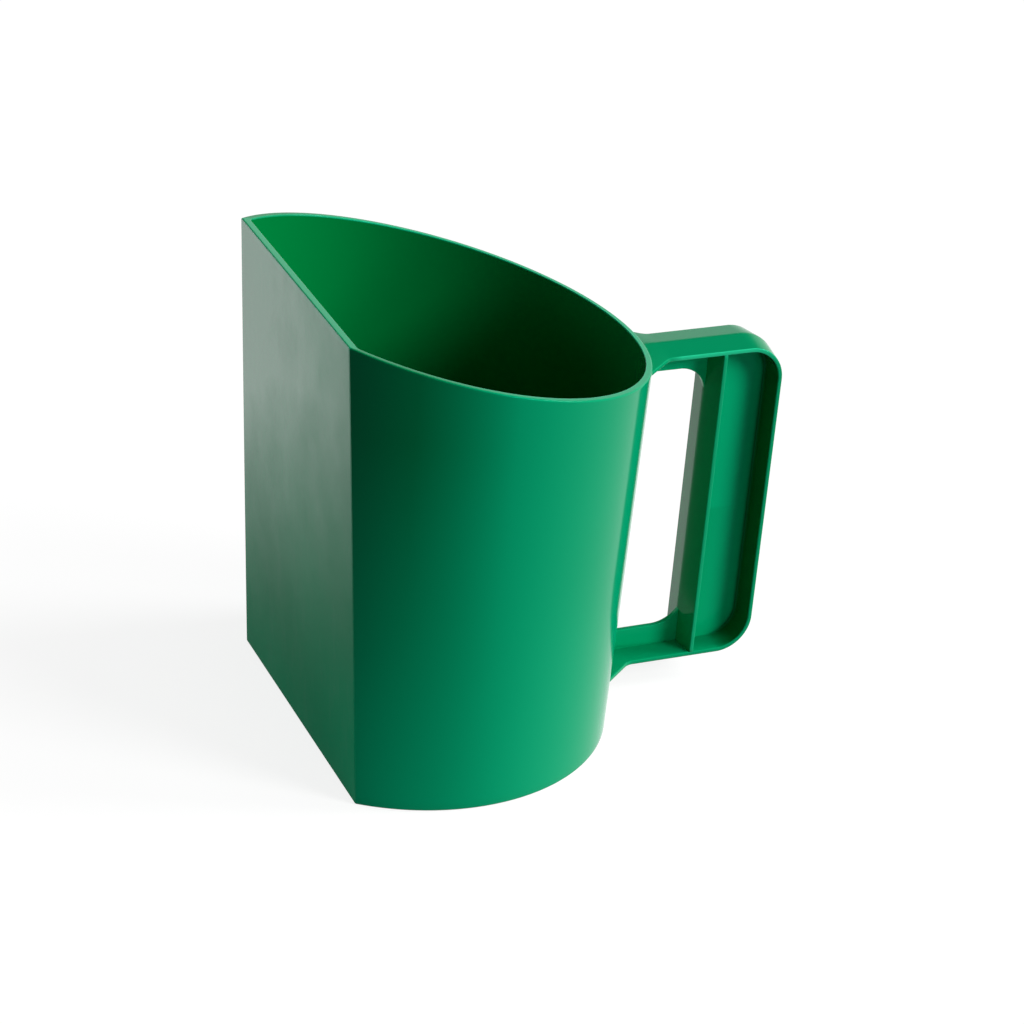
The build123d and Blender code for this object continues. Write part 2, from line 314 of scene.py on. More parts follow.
def mouth_height(cup, x):
    """Height of the dished mouth above x: a straight slope less a parabola that dips in its middle."""
    start = -cup.flat_distance - cup.rim_high * math.tan(cup.flat_lean)
    end = cup.base_radius + cup.rim_low * math.tan(cup.round_draft)
    share = (x - start) / (end - start)
    return cup.rim_high + share * (cup.rim_low - cup.rim_high) - 4 * cup.rim_dip * share * (1 - share)


def wall_rows(cup, u, depth, rise, drop, base):
    """Rows of the wall: at a depth into its thickness, a share of the way from a base height to a drop
    below the mouth. The height and the place depend on each other and are settled by repetition.
    """
    depth, rise, drop, base = (np.asarray(value, dtype=float)[:, None] for value in (depth, rise, drop, base))
    share = depth / cup.wall
    z = np.full((len(depth), len(u)), cup.rim_low)
    for _ in range(8):
        outer_x, outer_y = outline(cup, u, z, 0.0, 0.0, cup.corner_round)
        inner_x, inner_y = outline(cup, u, z, cup.wall, cup.flat_wall, cup.corner_radius)
        x = outer_x + share * (inner_x - outer_x)
        y = outer_y + share * (inner_y - outer_y)
        z = base + rise * (mouth_height(cup, x) - drop - base)
    return np.stack([x, y, z], axis=-1)


def row_values(depth, rise, drop, base):
    """The four numbers of wall_rows for a set of rows, each given once or for every row."""
    return np.stack(np.broadcast_arrays(depth, rise, drop, base)).astype(float)


def level_rows(cup, u, inset, flat_inset, z, corner):
    """Level rows of the section, each with its own insets, height and corner radius."""
    inset, flat_inset, z, corner = (np.asarray(value, dtype=float)[:, None]
                                    for value in (inset, flat_inset, z, corner))
    x, y = outline(cup, u, z + 0 * u, inset, flat_inset, corner)
    return np.stack([x, y, z + 0 * x], axis=-1)


def shrunk_rows(ring, shares):
    """Copies of a level ring, shrunk towards its mean point."""
    middle = ring.mean(axis=0)
    return middle + np.asarray(shares)[:, None, None] * (ring - middle)


def rim_highlights(quarter, land_rows, lip_rows):
    """Painted highlight on each row of the rim, from the neck to the inner lip, on the round and the flat wall.

    The round wall's painted light line lies along its inner lip. The flat wall has one at its outer edge and
    a light top, with a darker line between them on the rounding.
    """
    land = np.ones(land_rows)
    fade = np.linspace(1, 0.4, lip_rows)
    round_highlight = np.concatenate([[0, 0, 0], 0.15 * np.sin(quarter) ** 6, 0.15 * land, 0.7 * fade])
    outer_highlight = 0.9 * np.cos(quarter) ** 2 + 0.5 * np.sin(quarter) ** 8
    flat_highlight = np.concatenate([[0, 0.4, 0.9], outer_highlight, 0.5 * land, 0.5 * fade])
    return round_highlight[:, None], flat_highlight[:, None]


def corner_shade(cup, finish, grid):
    """Painted shade on the round wall's upper corners: the 1.5th power of the height's share of the low
    side, times a straight rise with the angle from the handle."""
    around = np.abs(np.arctan2(grid[..., 1], grid[..., 0]))
    height = np.clip(grid[..., 2] / cup.rim_low, 0, 1) ** 1.5
    return finish.corner_shade * height * np.clip((around - finish.corner_start) / finish.corner_blend, 0, 1)


class SCOOP_OT_cup(bpy.types.Operator):
    """Make the cup: the D section carried up the outside, over the dished rim and down the inside.

    The section is an arc of the drafted cone and a straight side of the leaning flat wall, joined by
    corner arcs. It shrinks to a pole in the middle of the underside and of the floor
    """
    bl_idname = "scoop.cup"
    bl_label = "Cup"

    def execute(self, context):
        cup = context.scene.scoop_cup
        finish = context.scene.scoop_finish
        u = np.concatenate([part + ramp(count)[:-1] for part, count in enumerate((361, 15, 61, 15))])
        quarter = np.radians(np.linspace(0, 90, 9))
        half_quarter = np.radians(np.linspace(0, 90, 6))
        heel, rim, lip, foot = cup.heel_round, cup.rim_round, cup.rim_inner_round, cup.foot_radius
        heel_in = heel * (1 - np.sin(half_quarter))
        heel_rows = level_rows(cup, u, heel_in, heel_in, heel * (1 - np.cos(half_quarter)),
                               np.full(len(half_quarter), cup.corner_round))
        below_rim = rim + np.array([3.6, 2.4, 1.5, 0.7]) * MM
        below_lip = lip + np.array([0.2, 0.6, 1.4]) * MM
        outer = row_values(0, ramp(60), below_rim[0], heel)[:, 1:]
        neck = row_values(0, 1, below_rim, 0)[:, 1:]
        rounded = row_values(rim * (1 - np.cos(quarter)), 1, rim * (1 - np.sin(quarter)), 0)
        land = row_values(np.linspace(rim, cup.wall - lip, 6)[1:-1], 1, 0, 0)
        lip_rows = row_values(cup.wall - lip * (1 - np.sin(half_quarter)), 1, lip * (1 - np.cos(half_quarter)), 0)
        throat = row_values(cup.wall, 1, below_lip, 0)
        inner = row_values(cup.wall, 1 - ramp(50), below_lip[-1], cup.floor + foot)[:, 1:]
        walls = wall_rows(cup, u, *np.hstack([outer, neck, rounded, land, lip_rows, throat, inner]))
        sunk = foot * (1 - np.cos(quarter[1:]))
        foot_rows = level_rows(cup, u, cup.wall + sunk, cup.flat_wall + sunk,
                               cup.floor + foot * (1 - np.sin(quarter[1:])), np.maximum(cup.corner_radius - sunk, lip))
        under = shrunk_rows(heel_rows[0], np.linspace(0.02, 1, 12)[:-1])
        floor = shrunk_rows(foot_rows[-1], np.linspace(1, 0.02, 14)[1:])
        grid = np.concatenate([under, heel_rows, walls, foot_rows, floor])
        # Painted highlight along the rim, set row by row.
        round_highlight, flat_highlight = rim_highlights(quarter, land.shape[1], lip_rows.shape[1])
        first_rim = len(under) + len(heel_rows) + outer.shape[1]
        last_rim = first_rim + len(round_highlight)
        last_satin = first_rim + neck.shape[1] + 3
        flat_column = u >= 1
        rim_highlight_mask = np.zeros(grid.shape[:2])
        rim_highlight_mask[first_rim:last_rim] = np.where(flat_column, flat_highlight, round_highlight)
        # Painted shade: the round wall's upper corners turn towards the pocket shade green.
        corner_shade_mask = corner_shade(cup, finish, grid)
        corner_shade_mask[last_rim:] = 0
        material = np.zeros((len(grid) - 1, len(u)), dtype=int)
        material[len(under):last_satin, flat_column] = 1
        material[last_rim:] = 2
        piece = closed_surface("cup", grid, rim_highlight_mask, corner_shade_mask, material)
        # The cup's inside takes the darker inside green, which is painted shade.
        place(piece, "moulding", ("closed_end", "flat_wall", "round_wall"),
              gloss_green("cup_gloss_green", finish.green, finish.deep_green, finish.rim_glow),
              satin_green("flat_wall_satin_green"),
              gloss_green("cup_inside_green", finish.inside_shade_green, finish.inside_shade_green, finish.rim_glow))
        return {"FINISHED"}


# Handle

def arm_normal(rise, side):
    """Outward normal in the XZ plane of an arm that rises outwards, above (+1) or below (-1)."""
    return np.array([-math.sin(rise), math.cos(rise)]) * side


def arm_lines(cup, handle):
    """Each arm's ridge at the base radius and its outward normal: the upper arm, then the lower."""
    return ((np.array([cup.base_radius, handle.upper_z]), arm_normal(handle.upper_rise, 1)),
            (np.array([cup.base_radius, handle.lower_z]), arm_normal(handle.lower_rise, -1)))


def within_grip(handle, x):
    """0 before the grip, rising to 1 over half a corner radius inside it."""
    return np.clip((x - GRIP_LOW[0]) / (handle.grip_corner / 2), 0, 1)


def corner_centre(handle, start, normal):
    """Centre of a grip corner: a corner radius inside both the arm's ridge and the grip's ridge."""
    x = handle.grip_x - handle.grip_corner
    level = normal @ start - handle.grip_corner
    return np.array([x, (level - normal[0] * x) / normal[1]])


def half_width_at(handle, x, turn_x):
    """Half width of an arm: even, then spread by the flare angle within turn_x, a parabola between."""
    slope = math.tan(handle.flare_angle)
    blend = handle.flare_blend * math.tan(handle.flare_angle / 2) * (1 + math.cos(handle.flare_angle)) / 2
    inside = handle.half_width + slope * (turn_x - x)
    blended = handle.half_width + slope * (turn_x + blend - x) ** 2 / (4 * blend)
    return np.where(x > turn_x + blend, handle.half_width, np.where(x < turn_x - blend, inside, blended))


def creased_profile(handle, half, crease, thickness):
    """Closed profile of a creased bar, going round once: depth under its ridge and place across it,
    with masks of its two edges and of its back.

    The face falls from the ridge along a hyperbola that softens the crease, the edges are quarter
    arcs with a straight side between, and the back rises to its middle with the pocket's draft.
    """
    edge, soft = handle.edge_round, handle.crease_round
    across = np.linspace(-(half - edge), half - edge, 41)
    face = np.stack([crease * (np.sqrt(across ** 2 + soft ** 2) - soft) / (half - soft), across])
    place_back = np.linspace(half - edge, -(half - edge), 21)
    draft = (half - np.abs(place_back)) * math.tan(handle.pocket_draft)
    back = np.stack([crease + thickness + draft, place_back])
    first, last = face[0, -1], back[0, 0]
    turn = np.radians(np.linspace(0, 90, 6))[1:-1]
    first_arc = np.stack([first + edge * (1 - np.cos(turn)), half - edge * (1 - np.sin(turn))])
    last_arc = np.stack([last - edge * (1 - np.sin(turn)), half - edge * (1 - np.cos(turn))])
    far = np.hstack([first_arc, [[first + edge, last - edge], [half, half]], last_arc])
    near = np.stack([far[0], -far[1]])[:, ::-1]
    counts = [part.shape[1] for part in (face, far, back, near)]
    return *np.hstack([face, far, back, near]), np.repeat([0, 1, 0, 1], counts), np.repeat([0, 0, 1, 0], counts)


def flange_profile(handle):
    """The flange's closed profile as height above its ridge and place across, with its two masks."""
    depth, *others = creased_profile(handle, handle.half_width, handle.crease, handle.flange_edge)
    return -depth, *others


def arm_rows(handle, cup, shares, start, normal, end_x, level):
    """Rows of an arm from inside the cup's wall to end_x, following the cup's round surface.

    At share 0 every profile point lies a little inside the cup's cone, found by repeating
    x = sqrt(radius^2 - y^2); the rows then spread evenly to the straight end of the arm. The flare
    moves each point sideways, the edges fully and the middle not at all.
    """
    height, across = flange_profile(handle)[:2]
    radius = cup.base_radius + level * math.tan(cup.round_draft) - handle.sunk
    turn_x = cup.base_radius + level * math.tan(cup.round_draft) + handle.flare_reach
    spread = np.clip(np.abs(across) / (0.9 * handle.half_width), 0, 1) * np.sign(across)

    def place_across(x):
        return across + spread * (half_width_at(handle, x, turn_x) - handle.half_width)

    contact = np.full(across.shape, radius)
    for _ in range(30):
        contact = np.sqrt(radius ** 2 - place_across(contact) ** 2)
    along = np.array([normal[1], -normal[0]]) * np.sign(normal[1])
    x = contact + np.asarray(shares)[:, None] * (end_x - contact)
    z = start[1] + (x - start[0]) * along[1] / along[0]
    return np.stack([x + height * normal[0], place_across(x), z + height * normal[1]], axis=-1)


def corner_rows(handle, centre, first, last, count):
    """Rows of a grip corner: the profile swung about the corner's centre."""
    height, across = flange_profile(handle)[:2]
    swing = np.linspace(first, last, count)[:, None]
    reach = handle.grip_corner + height
    return np.stack([centre[0] + reach * np.cos(swing), across + 0 * swing, centre[1] + reach * np.sin(swing)],
                    axis=-1)


class SCOOP_OT_flange(bpy.types.Operator):
    """Make the handle's C-shaped flange with both flared roots: one profile carried along the outline"""
    bl_idname = "scoop.flange"
    bl_label = "Flange"

    def execute(self, context):
        cup = context.scene.scoop_cup
        handle = context.scene.scoop_handle
        (upper_start, up), (lower_start, down) = arm_lines(cup, handle)
        upper_centre = corner_centre(handle, upper_start, up)
        lower_centre = corner_centre(handle, lower_start, down)
        shares = ramp(70) ** 1.3
        upper_end = upper_centre[0] + handle.grip_corner * up[0]
        lower_end = lower_centre[0] + handle.grip_corner * down[0]
        upper = arm_rows(handle, cup, shares, upper_start, up, upper_end, handle.upper_z - handle.crease)
        lower = arm_rows(handle, cup, shares, lower_start, down, lower_end, handle.lower_z + handle.crease)
        first = math.atan2(up[1], up[0])
        last = math.atan2(down[1], down[0])
        upper_corner = corner_rows(handle, upper_centre, first, 0, 33)
        lower_corner = corner_rows(handle, lower_centre, 0, last, 33)
        back = upper_corner[-1] + ramp(41)[1:-1, None, None] * (lower_corner[0] - upper_corner[-1])
        grid = np.concatenate([upper, upper_corner[1:], back, lower_corner, lower[::-1][1:]])
        edge, inner = flange_profile(handle)[2:]
        x, z = grid[..., 0], grid[..., 2]
        clear = cup.base_radius + cup.rim_low * math.tan(cup.round_draft) + handle.flare_reach
        # Painted highlight along the upper arm's edges, weaker on the grip and the lower arm.
        on_arm = np.clip((x - clear) / handle.flare_blend, 0, 1) * (z > handle.upper_z / 2)
        upper_arm_highlight = on_arm * np.clip((GRIP_HIGH[0] - x) / handle.grip_corner, 0, 1)
        finish = context.scene.scoop_finish
        # Painted shade on the back of the grip, inside its pocket.
        piece = closed_surface("handle_flange", grid, edge * np.maximum(upper_arm_highlight, finish.grip_share),
                               inner * within_grip(handle, x))
        place(piece, "moulding", ("upper_flange", "grip_flange", "lower_flange"),
              gloss_green("flange_gloss_green", finish.deep_green, finish.handle_green, finish.edge_glow))
        return {"FINISHED"}


class SCOOP_OT_rib(bpy.types.Operator):
    """Make the grip rib: its creased profile carried straight up between the two arms"""
    bl_idname = "scoop.rib"
    bl_label = "Grip rib"

    def execute(self, context):
        handle = context.scene.scoop_handle
        depth, across, edge, _ = creased_profile(handle, handle.half_width - handle.rib_inset,
                                                 handle.rib_crease, handle.rib_edge)
        low = RIB_LOW[2] - handle.rib_sunk
        high = RIB_HIGH[2] + handle.rib_sunk
        z = low + ramp(60)[:, None] * (high - low)
        grid = np.stack(np.broadcast_arrays(handle.rib_x + depth, across, z), axis=-1)
        # Painted highlight on the rib's rounded edges.
        piece = closed_surface("grip_rib_bar", grid, edge)
        finish = context.scene.scoop_finish
        place(piece, "moulding", ("grip_rib",),
              gloss_green("rib_gloss_green", finish.deep_green, finish.handle_green, finish.web_glow))
        return {"FINISHED"}


def level_inside(arm, depth, x):
    """Height at x of the line that lies at a depth inside an arm's ridge."""
    start, normal = arm
    return start[1] + ((x - start[0]) * -normal[0] - depth) / normal[1]


def loop_curve(ends, arms, depths, far, radii, count):
    """A C-shaped curve in the XZ plane: along one arm's line, round a corner, down, round, and back.

    ends are the x of its upper and lower ends, depths how far the two lines lie inside the arms'
    ridges, far the x of the outer side at its top and bottom, and radii those of the two corners.
    """
    top_centre, low_centre = [np.array([x - radius, level_inside(arm, depth + radius, x - radius)])
                              for arm, depth, x, radius in zip(arms, depths, far, radii)]
    begin, end = [np.array([x, level_inside(arm, depth, x)]) for arm, depth, x in zip(arms, depths, ends)]
    first, last = [math.atan2(normal[1], normal[0]) for _, normal in arms]
    along = ramp(count)[:, None]
    swing = first * (1 - along)
    swing_low = last * along
    corner = top_centre + radii[0] * np.hstack([np.cos(swing), np.sin(swing)])
    low_corner = low_centre + radii[1] * np.hstack([np.cos(swing_low), np.sin(swing_low)])
    arm = begin + along * (corner[0] - begin)
    side = corner[-1] + along * (low_corner[0] - corner[-1])
    low_arm = low_corner[-1] + along * (end - low_corner[-1])
    return np.concatenate([arm, corner[1:], side[1:], low_corner[1:], low_arm[1:]])


class SCOOP_OT_web(bpy.types.Operator):
    """Make the web: a thin sheet between the flange and the finger opening, filleted to the flange"""
    bl_idname = "scoop.web"
    bl_label = "Web"

    def execute(self, context):
        cup = context.scene.scoop_cup
        handle = context.scene.scoop_handle
        finish = context.scene.scoop_finish
        arms = arm_lines(cup, handle)
        half = handle.web / 2
        root = handle.crease + handle.flange_edge + handle.half_width * math.tan(handle.pocket_draft)
        into = handle.web_sunk
        ends = [cup.base_radius + z * math.tan(cup.round_draft) - handle.sunk for z in (handle.upper_z, handle.lower_z)]
        count = 40
        outer = loop_curve(ends, arms, (root - into,) * 2, (handle.grip_x - root + into,) * 2,
                           (handle.grip_corner - root + into,) * 2, count)
        inner = loop_curve(ends, arms, (root + handle.upper_web, root + handle.lower_web),
                           (handle.rib_x + handle.top_bite, handle.rib_x + handle.bottom_bite),
                           (handle.top_radius, handle.bottom_radius), count)
        fillet = handle.web_fillet
        lip = handle.web_edge
        turn = np.radians(np.linspace(0, 90, 7))
        margins = np.array([0.2, 0.6, 1.4, 3.0]) * MM
        rise = np.concatenate([[0.0], into + fillet * (1 - np.cos(turn)), into + fillet + margins])
        swell = np.concatenate([[fillet], fillet * (1 - np.sin(turn)), np.zeros(4)])
        span = np.linalg.norm(outer - inner, axis=1)[:, None]
        back_off = np.concatenate([lip + margins[::-1], lip * (1 - np.sin(turn))])
        thin = np.concatenate([half * np.ones(4), half - lip * (1 - np.cos(turn))])
        distance = np.hstack([rise + 0 * span, span - back_off])
        side = np.concatenate([half + swell, thin])
        profile_distance = np.hstack([distance, distance[:, ::-1]])
        profile_side = np.concatenate([-side, side[::-1]])
        direction = (inner - outer) / span
        flat = outer[:, None, :] + profile_distance[:, :, None] * direction[:, None, :]
        grid = np.stack([flat[..., 0], profile_side + 0 * flat[..., 0], flat[..., 1]], axis=-1)
        # Painted highlight on the rounded edge round the finger opening.
        opening = np.arange(len(side)) > len(side) - len(turn)
        # Painted shade at the web's root inside the grip and on the lower arm, and over all the lower arm's web.
        root_shade_mask = np.concatenate([np.ones(len(rise) - 4), [0.9, 0.5, 0.1, 0.0], np.zeros(len(thin))])
        in_grip = within_grip(handle, grid[..., 0])
        low_arm = (1 - in_grip) * (grid[..., 2] < handle.upper_z / 2)
        root_shade_across = np.concatenate([root_shade_mask, root_shade_mask[::-1]])
        thick = root_shade_across * (in_grip + finish.web_root_shade * low_arm) + finish.web_shade * low_arm
        piece = closed_surface("handle_web", grid, np.concatenate([opening, opening[::-1]]), thick)
        # The web's lighter green is painted light.
        place(piece, "moulding", ("upper_web", "lower_web", "grip_web"),
              gloss_green("web_gloss_green", finish.web_lit_green, finish.green, finish.web_glow))
        return {"FINISHED"}


# Finishes

def node_group(name, inputs, outputs):
    """A shader node group with named value and colour sockets, and its input and output nodes."""
    tree = bpy.data.node_groups.new(name, "ShaderNodeTree")
    for socket, kind, value in inputs:
        made = tree.interface.new_socket(socket, in_out="INPUT", socket_type=kind)
        if value is not None:
            made.default_value = value
    for socket, kind in outputs:
        tree.interface.new_socket(socket, in_out="OUTPUT", socket_type=kind)
    return tree, tree.nodes.new("NodeGroupInput"), tree.nodes.new("NodeGroupOutput")


def feed(tree, socket, value):
    """Give a socket a number, a colour or another node's output."""
    if hasattr(value, "node"):
        tree.links.new(value, socket)
    elif isinstance(value, (int, float)):
        socket.default_value = value
    else:
        socket.default_value = (*value, 1.0)


def noise(tree, vector, scale, detail=2.0, roughness=0.5):
    """A noise texture's value at a vector socket."""
    node = tree.nodes.new("ShaderNodeTexNoise")
    for name, value in (("Vector", vector), ("Scale", scale), ("Detail", detail), ("Roughness", roughness)):
        feed(tree, node.inputs[name], value)
    return node.outputs["Fac"]


def math_node(tree, operation, *values, clamp=False):
    """A math node fed by sockets or numbers."""
    node = tree.nodes.new("ShaderNodeMath")
    node.operation = operation
    node.use_clamp = clamp
    for socket, value in zip(node.inputs, values):
        feed(tree, socket, value)
    return node.outputs[0]


def mix_colour(tree, amount, first, second):
    """A colour mixed from two sockets or colours."""
    node = tree.nodes.new("ShaderNodeMix")
    node.data_type = "RGBA"
    for socket, value in ((node.inputs[0], amount), (node.inputs[6], first), (node.inputs[7], second)):
        feed(tree, socket, value)
    return node.outputs[2]


def mapped(tree, vector, scale):
    """A vector scaled axis by axis."""
    node = tree.nodes.new("ShaderNodeMapping")
    node.inputs["Scale"].default_value = scale
    tree.links.new(vector, node.inputs["Vector"])
    return node.outputs["Vector"]


def moulding_variation():
    """Group: slow changes of colour through the plastic, and a faint skin that breaks up the gloss."""
    found = bpy.data.node_groups.get("Moulding variation")
    if found:
        return found
    tree, start, end = node_group(
        "Moulding variation",
        [("Vector", "NodeSocketVector", None), ("Patch scale", "NodeSocketFloat", 9.0),
         ("Skin scale", "NodeSocketFloat", 900.0)],
        [("Patch", "NodeSocketFloat"), ("Skin", "NodeSocketFloat")])
    vector = start.outputs["Vector"]
    tree.links.new(noise(tree, vector, start.outputs["Patch scale"], 1.5), end.inputs["Patch"])
    tree.links.new(noise(tree, vector, start.outputs["Skin scale"], 3.0), end.inputs["Skin"])
    return tree


def new_material(name):
    """An empty node material with a Principled shader, and its Object coordinates."""
    material = bpy.data.materials.new(name)
    material.use_nodes = True
    tree = material.node_tree
    coordinates = tree.nodes.new("ShaderNodeTexCoord")
    return material, tree, tree.nodes["Principled BSDF"], coordinates.outputs["Object"]


def variation_in(tree, vector):
    """The moulding variation group placed in a material."""
    group = tree.nodes.new("ShaderNodeGroup")
    group.node_tree = moulding_variation()
    tree.links.new(vector, group.inputs["Vector"])
    return group


def mask_value(tree, name):
    """The value of a mask kept on the points."""
    mask = tree.nodes.new("ShaderNodeAttribute")
    mask.attribute_name = name
    return mask.outputs["Fac"]


def edge_highlighted(tree, body, glow):
    """A body colour with a painted highlight along the thin edges, standing in for light shining through them."""
    amount = math_node(tree, "MULTIPLY", mask_value(tree, "edge"), glow)
    return mix_colour(tree, amount, body, bpy.context.scene.scoop_finish.edge_highlight_green)


def relief(tree, shader, height, strength, distance):
    """A bump on the shader's normal."""
    bump = tree.nodes.new("ShaderNodeBump")
    bump.inputs["Strength"].default_value = strength
    bump.inputs["Distance"].default_value = distance
    tree.links.new(height, bump.inputs["Height"])
    tree.links.new(bump.outputs["Normal"], shader.inputs["Normal"])


def gloss_green(name, pale, deep, glow):
    """Polished plastic that drifts slowly between two greens, with uneven gloss and a very fine skin.
    Painted shade turns it towards the pocket shade green, and painted highlight lightens its thin edges.
    """
    finish = bpy.context.scene.scoop_finish
    material, tree, shader, vector = new_material(name)
    group = variation_in(tree, vector)
    green = mix_colour(tree, group.outputs["Patch"], deep, pale)
    # Painted shade: mixed towards the pocket shade green by the mask of painted shade.
    green = mix_colour(tree, mask_value(tree, "thick"), green, finish.pocket_shade_green)
    tree.links.new(edge_highlighted(tree, green, glow), shader.inputs["Base Color"])
    roughness = math_node(tree, "MULTIPLY_ADD", group.outputs["Patch"], finish.gloss_drift,
                          finish.gloss - finish.gloss_drift / 2)
    tree.links.new(roughness, shader.inputs["Roughness"])
    relief(tree, shader, group.outputs["Skin"], finish.skin, 0.1 * MM)
    shader.inputs["Specular IOR Level"].default_value = finish.gloss_level
    shader.inputs["Specular Tint"].default_value = (*finish.gloss_tint, 1)
    return material


def satin_green(name):
    """The flat wall: satin plastic in a lighter green, which is painted light, burnished towards its top and its +Y
    side, with soft mottling.

    The burnish is a clear coat. Its weight is the square of (height + slant times y) over the burnish
    height, times a share that grows straight across the wall, times a cloudy noise.
    """
    finish = bpy.context.scene.scoop_finish
    material, tree, shader, vector = new_material(name)
    group = variation_in(tree, vector)
    smear = noise(tree, mapped(tree, vector, (1.0, 1.0, 0.4)), finish.scuff_scale, 4.0, 0.6)
    scuff = math_node(tree, "SUBTRACT", smear, 0.5, clamp=True)
    # Painted light: the flat wall's green is lighter than the cup's.
    body = mix_colour(tree, group.outputs["Patch"], finish.deep_green, finish.flat_wall_lit_green)
    scuffed = mix_colour(tree, scuff, body, finish.scuff_green)
    # Painted highlight along the flat wall's rim rows.
    tree.links.new(edge_highlighted(tree, scuffed, finish.rim_glow), shader.inputs["Base Color"])
    parts = tree.nodes.new("ShaderNodeSeparateXYZ")
    tree.links.new(vector, parts.inputs[0])
    slant = math_node(tree, "MULTIPLY_ADD", parts.outputs["Y"], finish.burnish_slant, parts.outputs["Z"])
    share = math_node(tree, "DIVIDE", slant, finish.burnish_height, clamp=True)
    burnish = math_node(tree, "MULTIPLY_ADD", math_node(tree, "POWER", share, 2.0),
                        1 - finish.burnish_least, finish.burnish_least)
    across = math_node(tree, "MULTIPLY_ADD", parts.outputs["Y"], finish.burnish_across, finish.burnish_middle)
    cloud = noise(tree, mapped(tree, vector, (1.0, 1.0, 0.7)), finish.coat_scale, 4.0, 0.6)
    worn = math_node(tree, "MULTIPLY", across, math_node(tree, "MULTIPLY_ADD", cloud, 0.5, 0.78))
    tree.links.new(math_node(tree, "MULTIPLY", burnish, worn, clamp=True), shader.inputs["Coat Weight"])
    roughness = math_node(tree, "MULTIPLY_ADD", scuff, finish.scuff_dull, finish.satin)
    tree.links.new(roughness, shader.inputs["Roughness"])
    relief(tree, shader, smear, finish.scuff_relief, 0.2 * MM)
    shader.inputs["Specular IOR Level"].default_value = 0.0
    shader.inputs["Coat IOR"].default_value = finish.coat_index
    shader.inputs["Coat Roughness"].default_value = finish.coat_roughness
    return material


# Studio

def seen(tree):
    """1 for rays that look, straight or by reflection or through glass, and 0 for rays that light."""
    path = tree.nodes.new("ShaderNodeLightPath")
    mirror = math_node(tree, "MAXIMUM", path.outputs["Is Camera Ray"], path.outputs["Is Glossy Ray"])
    return math_node(tree, "MAXIMUM", mirror, path.outputs["Is Transmission Ray"])


def broad_light(name, energy, azimuth, elevation, spread):
    """A distant lamp of a given angular size, standing at an azimuth and an elevation, all in degrees."""
    lamp = bpy.data.lights.new(name, "SUN")
    lamp.energy = energy
    lamp.angle = math.radians(spread)
    holder = bpy.data.objects.new(name, lamp)
    bpy.context.scene.collection.objects.link(holder)
    holder.rotation_euler = (0, math.radians(90 - elevation), math.radians(azimuth))


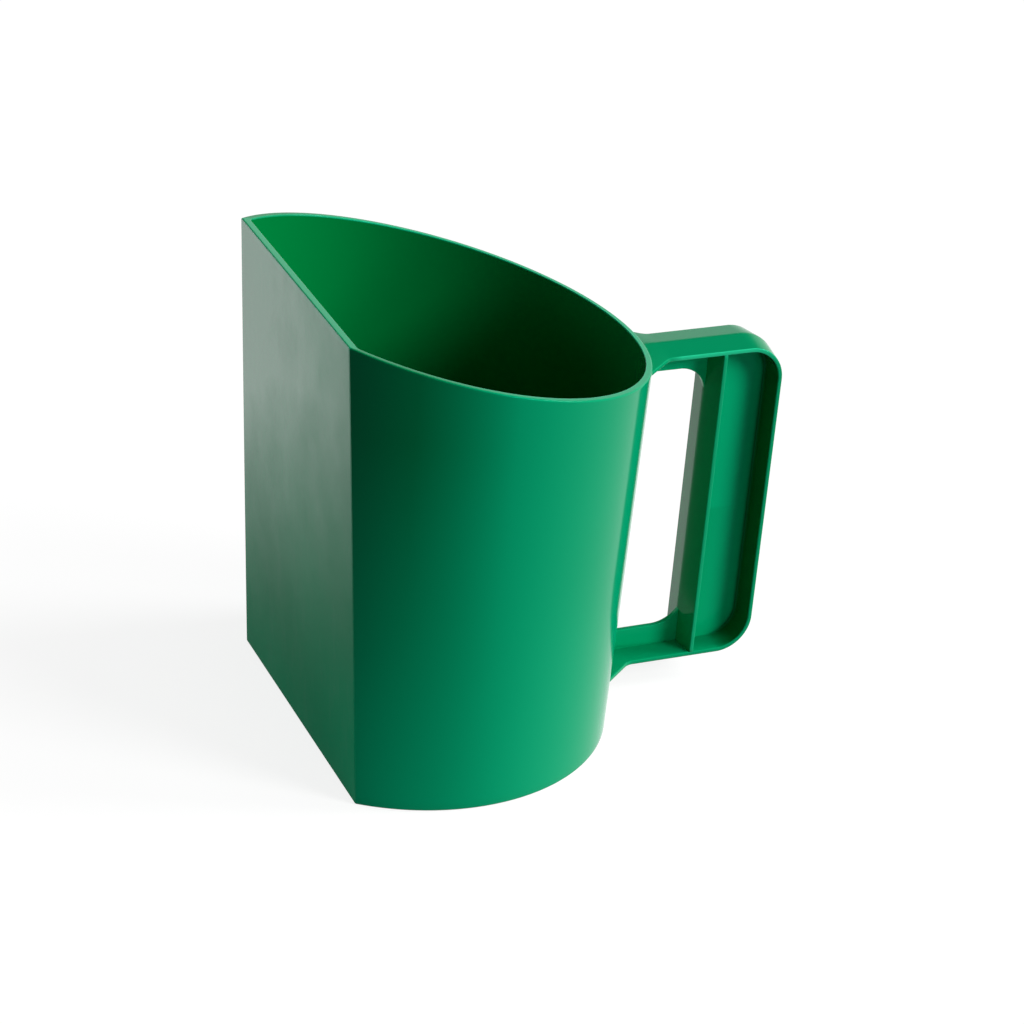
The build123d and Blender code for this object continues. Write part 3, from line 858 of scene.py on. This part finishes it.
class SCOOP_OT_stage(bpy.types.Operator):
    """Set out the floor, the broad lights, the sky and the camera"""
    bl_idname = "scoop.stage"
    bl_label = "Studio"

    def execute(self, context):
        stage = context.scene.scoop_stage
        scene = context.scene
        self.lay_floor(scene, stage)
        self.hang_sky(scene, stage)
        for name, setting, *direction in LAMPS:
            broad_light(name, getattr(stage, setting), *direction)
        scene.view_settings.view_transform = "Standard"
        self.set_camera(scene, stage)
        return {"FINISHED"}

    def hang_sky(self, scene, stage):
        """A sky that looks white up to a low height and dim above it, and gives only the Sky setting's
        even light.

        The white falls off with the upward part of the direction, so bright reflections stay low.
        """
        world = bpy.data.worlds.new("studio_sky")
        world.use_nodes = True
        scene.world = world
        tree = world.node_tree
        direction = tree.nodes.new("ShaderNodeTexCoord")
        parts = tree.nodes.new("ShaderNodeSeparateXYZ")
        tree.links.new(direction.outputs["Generated"], parts.inputs[0])
        fall = tree.nodes.new("ShaderNodeMapRange")
        fall.interpolation_type = "SMOOTHSTEP"
        for socket, value in (("From Min", stage.white_up_to), ("From Max", stage.dim_from),
                              ("To Min", 1.0), ("To Max", stage.dim_white)):
            fall.inputs[socket].default_value = value
        tree.links.new(parts.outputs["Z"], fall.inputs["Value"])
        look = math_node(tree, "MULTIPLY", seen(tree), fall.outputs["Result"])
        sky = tree.nodes["Background"]
        sky.inputs["Color"].default_value = (1, 1, 1, 1)
        tree.links.new(math_node(tree, "MAXIMUM", look, stage.sky), sky.inputs["Strength"])

    def lay_floor(self, scene, stage):
        """A plain flat floor just under the resting face, of pale paper.

        The paper scatters light near the scoop and less with distance, down to none. There its own
        white is raised by the same amount, so the floor looks evenly white.
        """
        edge = np.linspace(-FLOOR_REACH, FLOOR_REACH, 9)
        x, y = np.meshgrid(edge, edge)
        points = np.stack([x, y, 0 * x - 0.2 * MM], axis=-1).reshape(-1, 3)
        cell = (np.arange(8)[:, None] * 9 + np.arange(8)[None, :]).reshape(-1, 1)
        mesh = bpy.data.meshes.new("studio_floor")
        mesh.from_pydata(points.tolist(), [], (cell + np.array([0, 1, 10, 9])).tolist())
        floor = bpy.data.objects.new("studio_floor", mesh)
        scene.collection.objects.link(floor)
        _, tree, shader, vector = new_material("studio_paper")
        distance = tree.nodes.new("ShaderNodeVectorMath")
        distance.operation = "LENGTH"
        tree.links.new(vector, distance.inputs[0])
        left = math_node(tree, "SUBTRACT", stage.paper_reach, distance.outputs["Value"])
        near = math_node(tree, "DIVIDE", left, stage.paper_blend, clamp=True)
        tree.links.new(math_node(tree, "MULTIPLY", near, stage.paper), shader.inputs["Base Color"])
        shader.inputs["Roughness"].default_value = 0.9
        shader.inputs["Specular IOR Level"].default_value = 0.0
        shader.inputs["Emission Color"].default_value = (1, 1, 1, 1)
        scattered = stage.paper_lit * stage.paper
        lifted = math_node(tree, "MULTIPLY_ADD", near, -scattered, stage.paper_white + scattered)
        white = math_node(tree, "MULTIPLY", seen(tree), lifted)
        tree.links.new(white, shader.inputs["Emission Strength"])
        mesh.materials.append(bpy.data.materials["studio_paper"])

    def set_camera(self, scene, stage):
        """A long lens that looks down at the scoop, turned a little about its line of sight."""
        descent, azimuth, roll = stage.descent, stage.azimuth, stage.roll
        ahead = np.array([math.cos(descent) * math.cos(azimuth), math.cos(descent) * math.sin(azimuth),
                          -math.sin(descent)])
        level = np.array([math.sin(azimuth), -math.cos(azimuth), 0])
        above = np.cross(level, ahead)
        right = math.cos(roll) * level + math.sin(roll) * above
        up = math.cos(roll) * above - math.sin(roll) * level
        camera = bpy.data.cameras.new("camera")
        camera.lens = stage.lens
        camera.sensor_width = 36.0
        camera.clip_start = 0.05
        holder = bpy.data.objects.new("camera", camera)
        scene.collection.objects.link(holder)
        turn = np.eye(4)
        turn[:3, 0], turn[:3, 1], turn[:3, 2] = right, up, -ahead
        turn[:3, 3] = AIM - stage.distance * ahead
        holder.matrix_world = Matrix(turn.tolist())
        scene.camera = holder


class VIEW3D_PT_scoop(bpy.types.Panel):
    """Lists what the scoop is made of"""
    bl_label = "Feed scoop"
    bl_idname = "VIEW3D_PT_scoop"
    bl_space_type = "VIEW_3D"
    bl_region_type = "UI"
    bl_category = "Scoop"

    def draw(self, context):
        layout = self.layout
        for operator in OPERATORS:
            layout.operator(operator.bl_idname)
        for name, group in SETTINGS.items():
            box = layout.box()
            settings = getattr(context.scene, name)
            for item in group.__annotations__:
                box.prop(settings, item)


SETTINGS = {"scoop_cup": ScoopCup, "scoop_handle": ScoopHandle, "scoop_finish": ScoopFinish,
            "scoop_stage": ScoopStage}
OPERATORS = (SCOOP_OT_cup, SCOOP_OT_flange, SCOOP_OT_rib, SCOOP_OT_web, SCOOP_OT_stage)


def register():
    """Register the settings, operators and panel."""
    for name, group in SETTINGS.items():
        bpy.utils.register_class(group)
        setattr(bpy.types.Scene, name, bpy.props.PointerProperty(type=group))
    for operator in OPERATORS:
        bpy.utils.register_class(operator)
    bpy.utils.register_class(VIEW3D_PT_scoop)


def unregister():
    """Undo register."""
    bpy.utils.unregister_class(VIEW3D_PT_scoop)
    for operator in reversed(OPERATORS):
        bpy.utils.unregister_class(operator)
    for name, group in SETTINGS.items():
        delattr(bpy.types.Scene, name)
        bpy.utils.unregister_class(group)


def main():
    """Build every piece and the studio."""
    register()
    bpy.ops.scoop.cup()
    bpy.ops.scoop.flange()
    bpy.ops.scoop.rib()
    bpy.ops.scoop.web()
    bpy.ops.scoop.stage()


if __name__ == "__main__":
    main()
